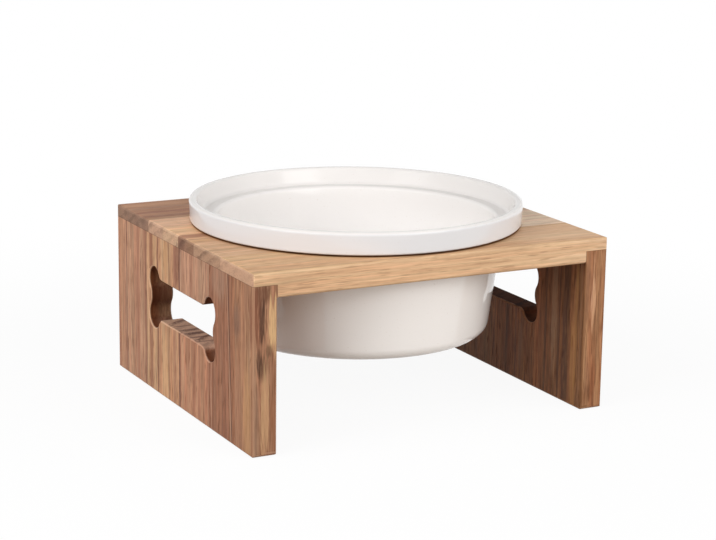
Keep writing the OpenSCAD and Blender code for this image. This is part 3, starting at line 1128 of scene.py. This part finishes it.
@dataclass
class Studio:
    """Camera, soft boxes, white surroundings and floor; sizes in millimetres and degrees."""

    azimuth: float = -27.58
    elevation: float = 13.525
    roll: float = 0.853
    distance: float = 1555.7
    target: Tuple[float, float, float] = (2.6, 0.0, 89.67)
    focal: float = 2091.5
    width: float = 716.0
    sensor: float = 36.0
    near: float = 50.0
    ambient: float = 0.27
    floor_r: float = 3000.0
    floor_drop: float = 0.2
    floor_glow: float = 0.93
    floor_fade: Tuple[float, float] = (260.0, 620.0)
    floor_white: Colour = (0.92, 0.92, 0.92, 1.0)
    floor_bounce: Colour = (0.36, 0.29, 0.23, 1.0)
    boxes: Tuple[SoftBox, ...] = (
        SoftBox("top_fill", 0, 86, 2200, (1600, 1600), 2.5, False),
        SoftBox("front_fill", 41, 18, 2200, (2400, 1300), 26.5, False),
        SoftBox("camera_fill", -36, 16, 2200, (900, 900), 4.2, False),
        SoftBox("left_fill", -77, 30.5, 2200, (1800, 1500), 34.2, False),
        SoftBox("left_box", -72.5, 26, 2000, (900, 800), 2.2),
        SoftBox("right_box", 18, 20, 2000, (1000, 1300), 8.7),
    )

    def build(self) -> None:
        """Sets up everything around the object."""
        self.camera()
        self.world()
        self.floor()
        for box in self.boxes:
            self.hang(box)
        bpy.context.scene.view_settings.view_transform = "Standard"

    def toward(self, azimuth: float, elevation: float) -> Vector:
        """Direction from the stand's middle; azimuth 0 is the front, and it grows to the right."""
        a, e = math.radians(azimuth), math.radians(elevation)
        return Vector((math.sin(a) * math.cos(e), -math.cos(a) * math.cos(e), math.sin(e)))

    def camera(self) -> None:
        """Places the camera at the photograph's viewpoint."""
        back = self.toward(self.azimuth, self.elevation)
        right = (-back).cross(Vector((0, 0, 1))).normalized()
        up = right.cross(-back)
        r = math.radians(self.roll)
        right, up = right * math.cos(r) + up * math.sin(r), up * math.cos(r) - right * math.sin(r)
        spot = (Vector(self.target) + back * self.distance) * MM
        data = bpy.data.cameras.new("view")
        data.sensor_fit = "HORIZONTAL"
        data.sensor_width = self.sensor
        data.lens = self.focal / self.width * self.sensor
        data.clip_start = self.near * MM
        camera = new_piece("view", data)
        camera.matrix_world = Matrix.Translation(spot) @ Matrix((right, up, back)).transposed().to_4x4()
        bpy.context.scene.camera = camera

    def hang(self, box: SoftBox) -> None:
        """Hangs one soft box.

        Args:
            box: What it is like and where it hangs.
        """
        data = bpy.data.lights.new(box.name, "AREA")
        data.shape = "RECTANGLE"
        data.size, data.size_y = box.size[0] * MM, box.size[1] * MM
        data.energy = box.power
        lamp = new_piece(box.name, data)
        lamp.visible_glossy = box.mirrored
        back = self.toward(box.azimuth, box.elevation)
        lamp.location = (Vector(self.target) + back * box.far) * MM
        lamp.rotation_euler = back.to_track_quat("Z", "Y").to_euler()

    def seen(self, t: Tree) -> Value:
        """Tells what is seen from what only lights.

        Args:
            t: The tree.

        Returns:
            1 for what the camera sees, in reflections or through glass too, and 0 for light that bounces.
        """
        path = t.make("ShaderNodeLightPath")
        rays = [Value(t, path.outputs[n]) for n in ("Is Camera Ray", "Is Glossy Ray", "Is Transmission Ray")]
        return (rays[0] + rays[1] + rays[2]).least(1.0)

    def world(self) -> None:
        """White surroundings, which light the object only softly."""
        world = bpy.data.worlds.new("white_room")
        world.use_nodes = True
        bpy.context.scene.world = world
        t = Tree(world.node_tree)
        t.tree.nodes.clear()
        plain = t.make("ShaderNodeBackground", None, {"Color": WHITE, "Strength": 1.0})
        soft = t.make("ShaderNodeBackground", None, {"Color": WHITE, "Strength": self.ambient})
        mixed = t.make("ShaderNodeMixShader", None, {0: self.seen(t), 1: soft, 2: plain})
        t.make("ShaderNodeOutputWorld", None, {"Surface": mixed})

    def floor(self) -> None:
        """A plain white floor that keeps the stand's soft shadow and fades into the surroundings."""
        mesh = bpy.data.meshes.new("floor")
        with edited(mesh) as work:
            bmesh.ops.create_circle(work, cap_ends=True, segments=96, radius=self.floor_r * MM)
            bmesh.ops.translate(work, verts=work.verts, vec=(0, 0, -self.floor_drop * MM))
        floor = new_piece("floor", mesh)
        t = MaterialTree("white_floor")
        x, y, _ = t.place()
        outward = (x * x + y * y) ** 0.5
        glow = self.floor_glow + (1 - self.floor_glow) * outward.rise(*self.floor_fade)
        white = t.make("ShaderNodeBsdfDiffuse", None, {"Color": self.floor_white})
        light = t.make("ShaderNodeEmission", None, {"Color": WHITE, "Strength": 1.0})
        shown = t.make("ShaderNodeMixShader", None, {0: glow, 1: white, 2: light})
        dull = t.make("ShaderNodeBsdfDiffuse", None, {"Color": self.floor_bounce})
        both = t.make("ShaderNodeMixShader", None, {0: self.seen(t), 1: dull, 2: shown})
        t.make("ShaderNodeOutputMaterial", None, {"Surface": both})
        mesh.materials.append(t.material)


# Places of the glue joints across the board, from back to front, and across the left leg, from its wide
# stave on; the right leg is turned round.
TOP_JOINTS = (STAND.half_d, 61.0, 33.0, 4.0, -24.0, -70.0, -STAND.half_d)
LEG_JOINTS = (STAND.half_d, 66.0, 2.0, -50.5, -86.0, -STAND.half_d)
# Glue lines of the board's laps on the legs.
LAP_SEAMS = (
    Seam(Axis.Z, STAND.lap_z, 0.45, 0.35, Axis.X, STAND.core_x),
    Seam(Axis.X, -STAND.core_x, 0.6, 0.3, Axis.Z, STAND.lap_z, True),
    Seam(Axis.X, STAND.core_x, 0.6, 0.3, Axis.Z, STAND.lap_z, True),
)


def streak(code: str, strength: float, at: float, half: float, drift: float = 1.2) -> Mark:
    """A streak that runs the whole length of the grain at a place across the stave."""
    return Mark(code, strength, ((Axis.Y, at, half),), drift)


def blotch(code: str, strength: float, y: Tuple[float, float], z: Tuple[float, float]) -> Mark:
    """A mark on a leg's wide face, with its middle and half size across and along the grain."""
    return Mark(code, strength, ((Axis.Y, *y), (Axis.Z, *z)))


def edge_mark(code: str, strength: float, x: Tuple[float, float], z: Tuple[float, float]) -> Mark:
    """A mark on a leg's front edge, with its middle and half size through and along the leg."""
    return Mark(code, strength, ((Axis.X, *x), (Axis.Y, -STAND.half_d, 6.0), (Axis.Z, *z)), 0.8, 1.4)


def bar_band(code: str, strength: float, y: float, half: float) -> Mark:
    """A dark ring on the end grain of the bar in the left grip hole."""
    spans = (Axis.Y, y, half), (Axis.X, -131.0, 13.0), (Axis.Z, 57.2, 2.0)
    return Mark(code, strength, spans, drift=0.0, rag=0.4, over_ends=True)


# Middle tone and end-grain tone of each stave of the board, and the joint at its back.
TOP_TONES = {
    "top_back_stave": ("ac8164", "8b7162", 0),
    "top_stave_2_left": ("dbae8d", "ba9882", 1),
    "top_stave_2_right": ("e0c2aa", "c5a189", 1),
    "top_stave_3_left": ("eabe95", "bf9f86", 2),
    "top_stave_3_right": ("e3c7ad", "ccaa8e", 2),
    "top_stave_4_left": ("d4a580", "77584b", 3),
    "top_stave_4_right": ("e0c2aa", "a98470", 3),
    "top_stave_5_left": ("cfa986", "a5846e", 4),
    "top_stave_5_right": ("e2c8ae", "bd997e", 4),
    "top_front_stave": ("cca57e", "c09a83", 5),
}
# A line that leans across two staves of the left leg.
LEANING_LINE = (
    Mark("be977c", 0.6, ((Axis.Y, -85.0, 0.9),), 0.3, 0.4, 0.06),
    Mark("513228", 0.9, ((Axis.Y, -86.6, 1.0),), 0.3, 0.4, 0.06),
)
# The staves of a leg: the joint before each, and its middle tone on the left and on the right.
LEG_TONES = {
    "wide": (0, "b68a6f", "7d5437"),
    "grip": (1, "c29775", "8a5a3b"),
    "upper": (2, "b99177", "926546"),
    "lower": (2, "b38367", "8c5f42"),
    "notched": (3, "986a51", "84573c"),
    "narrow": (4, "9f7458", "8c5f41"),
}
LEG_ENDS = "c6a089"
# Streaks through both halves of the left leg's middle stave.
HALVES_STREAKS = (
    streak("643d31", 0.8, 1.5, 1.2, 0.4),
    streak("8e624b", 0.5, -21, 1.2),
    streak("976b55", 0.5, -34, 1.2),
)
# Streaks and blotches of each stave that has any.
MARKS = {
    "top_back_stave": (
        streak("c09270", 0.5, 112, 6),
        streak("8f7565", 0.6, 99.5, 1.4),
        streak("8e5d48", 0.75, 84.5, 4),
        streak("85563f", 0.75, 70, 4.5),
    ),
    "top_stave_3_left": (streak("dcb384", 0.5, 21, 3), streak("a97f5c", 0.5, 11, 1)),
    "top_stave_4_left": (
        Mark("8c5b45", 0.75, ((Axis.Y, -2.0, 6.0), (Axis.X, -136.0, 24.0))),
        streak("dcb07f", 0.45, -17, 3),
    ),
    "top_stave_5_left": (streak("a97c58", 0.45, -49, 0.9), streak("a97c58", 0.4, -36, 0.8)),
    "top_front_stave": (Mark("dfbd9c", 0.5, ((Axis.X, 128.0, 70.0), (Axis.Y, -96.0, 30.0))),),
    "left_leg_wide_stave": (
        streak("be9373", 0.4, 115, 4),
        streak("764f40", 0.8, 105, 1.2, 0.5),
        streak("92644e", 0.55, 81.5, 3),
        streak("764f3e", 0.7, 67, 1.8, 0.5),
    ),
    "left_leg_grip_stave": (
        streak("764f3e", 0.6, 65, 1.5, 0.5),
        streak("82513c", 0.7, 56, 4),
        streak("6e4233", 0.8, 43, 1.6),
        blotch("d6aa80", 0.8, (29, 6), (22, 34)),
        blotch("c5996d", 0.6, (28, 5), (106, 16)),
        streak("875b42", 0.6, 22, 1.4),
        blotch("714436", 0.8, (7, 6), (106, 22)),
        streak("95604c", 0.55, 11, 3.5),
        streak("643d31", 0.9, 2.5, 1.6, 0.4),
        bar_band("5a3c33", 0.8, 5.5, 3.0),
        bar_band("5d3c32", 0.7, 17.0, 1.6),
    ),
    "left_leg_upper_stave": HALVES_STREAKS,
    "left_leg_lower_stave": (
        *HALVES_STREAKS,
        bar_band("523730", 0.85, -4.5, 4.0),
        bar_band("5a3a30", 0.8, -15.0, 2.0),
        bar_band("5a3a30", 0.7, -27.0, 1.5),
    ),
    "left_leg_notched_stave": (
        streak("6f4733", 0.7, -51, 1.2, 0.4),
        blotch("c59b81", 0.6, (-54.5, 1.2), (25, 40)),
        streak("704835", 0.6, -58, 1.6),
        streak("79523c", 0.5, -68, 1.0),
        blotch("a98973", 0.5, (-68, 15), (112, 18)),
        *LEANING_LINE,
    ),
    "left_leg_narrow_stave": (
        *LEANING_LINE,
        blotch("725446", 0.65, (-98, 7), (90, 14)),
        blotch("8c614b", 0.6, (-114, 6), (112, 16)),
        blotch("c4966a", 0.6, (-115, 8), (26, 42)),
        blotch("ab7d64", 0.4, (-99, 5), (28, 40)),
        edge_mark("6a4532", 0.85, (-134, 9), (113, 10)),
        edge_mark("7c4d38", 0.9, (-138, 6.5), (95, 22)),
        edge_mark("d2a878", 0.95, (-124, 5.6), (91, 22)),
        edge_mark("503629", 0.95, (-133.0, 2.4), (94, 20)),
        edge_mark("4d3325", 0.95, (-134.0, 5.0), (64, 12)),
        edge_mark("5f4231", 0.7, (-128.5, 3.0), (74, 5)),
        edge_mark("8f6a55", 0.55, (-138, 3), (30, 40)),
        edge_mark("c79d72", 0.65, (-131, 3.6), (30, 36)),
        edge_mark("8e5a3d", 0.6, (-124, 3), (30, 32)),
    ),
    "right_leg_wide_stave": (
        blotch("ba8655", 0.45, (-111.5, 4), (34, 50)),
        streak("a6784a", 0.5, -114, 2, 2.5),
        blotch("a28167", 0.55, (-85, 5), (66, 56)),
        streak("41271c", 0.75, -100, 4.5, 2.0),
        streak("977356", 0.4, -120, 1.2),
        streak("462b20", 0.6, -92, 1.2),
        streak("462b20", 0.6, -74, 1.5),
        streak("462b20", 0.6, -63.5, 1.6),
        # Painted shade: darker at the front face's inner upper corner, near where the leg meets the board.
        edge_mark("613e2a", 0.6, (125, 4), (94, 26)),
        edge_mark("613e2a", 0.5, (126.5, 2), (30, 26)),
        edge_mark("7c5134", 0.6, (137, 4.5), (88, 30)),
        edge_mark("b18562", 0.5, (129.8, 1.8), (86, 26)),
    ),
    "right_leg_grip_stave": (
        blotch("975f36", 0.6, (-36, 3), (50, 4)),
        blotch("92705c", 0.5, (-39.5, 3), (26, 22)),
        streak("462b20", 0.6, -32, 1.4),
        streak("462b20", 0.5, -20, 3),
        streak("8b6956", 0.35, -8, 2.0),
    ),
}
# How the board's wood and the right leg's differ from the left leg's.
TOP_WOOD = partial(
    WoodFinish,
    Axis.X,
    # The board's front and back edges get a lighter tint: painted light.
    edge=(1.12, 1.19, 1.28),
    ring=5.0, end_ring=9.0, lean=58.0, band=7.0, line=2.0, fibre=1.2,
    band_share=0.45, ring_share=0.16, line_share=0.6, streak_share=0.35, fibre_share=1.0,
    cloud_share=0.3, pore_share=0.5, hue_share=0.5, worn_lit_share=0.12, rim_shade_r=121.9,
)
LEG_WOOD = {
    Side.LEFT: partial(WoodFinish, Axis.Z, routed=True),
    # Painted light and shade on the right leg: darker middle tones for its shaded inner face, a much lighter
    # tint on its front and back faces, and fully darkened hole walls and bar.
    Side.RIGHT: partial(
        WoodFinish,
        Axis.Z,
        edge=(1.66, 1.84, 2.13),
        band_share=1.0, line_share=1.2, streak_share=0.9, fibre_share=2.6,
        wall_share=1.0, bar_share=1.0, soak_and_shade=(0.12, 0.07, 0.05), routed=True,
    ),
}


def joined(joints: Sequence[float], number: int, strength: float) -> Tuple[Seam, ...]:
    """The glue lines on both edges of a stave, without the panel's outer edges."""
    inner = (i for i in (number, number + 1) if 0 < i < len(joints) - 1)
    return tuple(Seam(Axis.Y, joints[i], strength) for i in inner)


def top_finishes() -> Dict[str, WoodFinish]:
    """The board's staves, from back to front.

    Returns:
        A finish for each node of the board.
    """
    made = {}
    for number, (node, (base, ends, joint)) in enumerate(TOP_TONES.items()):
        made[node] = TOP_WOOD(
            base,
            ends,
            number + 1.0,
            end_share=0.25 if node == "top_front_stave" else 0.65,
            marks=MARKS.get(node, ()),
            seams=joined(TOP_JOINTS, joint, 0.3) + LAP_SEAMS,
        )
    return made


def leg_finishes(side: Side) -> Dict[str, WoodFinish]:
    """The staves of one leg, from its wide stave on.

    Args:
        side: Which leg.

    Returns:
        A finish for each node of the leg.
    """
    made = {}
    joints = [-side.sign * joint for joint in LEG_JOINTS]
    for number, (name, (joint, left, right)) in enumerate(LEG_TONES.items()):
        node = f"{side.value}_leg_{name}_stave"
        made[node] = LEG_WOOD[side](
            left if side is Side.LEFT else right,
            LEG_ENDS,
            20.0 + number + 8 * side.sign,
            marks=MARKS.get(node, ()),
            seams=joined(joints, joint, 0.35) + (Seam(Axis.Z, STAND.lap_z, 0.45, 0.35),),
        )
    return made


def main() -> None:
    """Builds the dressed feeder and its studio."""
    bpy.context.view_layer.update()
    StavePanel("top_wood", top_finishes()).build()
    for side in Side:
        StavePanel("leg_wood", leg_finishes(side)).build()
        DowelRow(side).build()
    FeedingBowl().build()
    Studio().build()


if __name__ == "__main__":
    main()
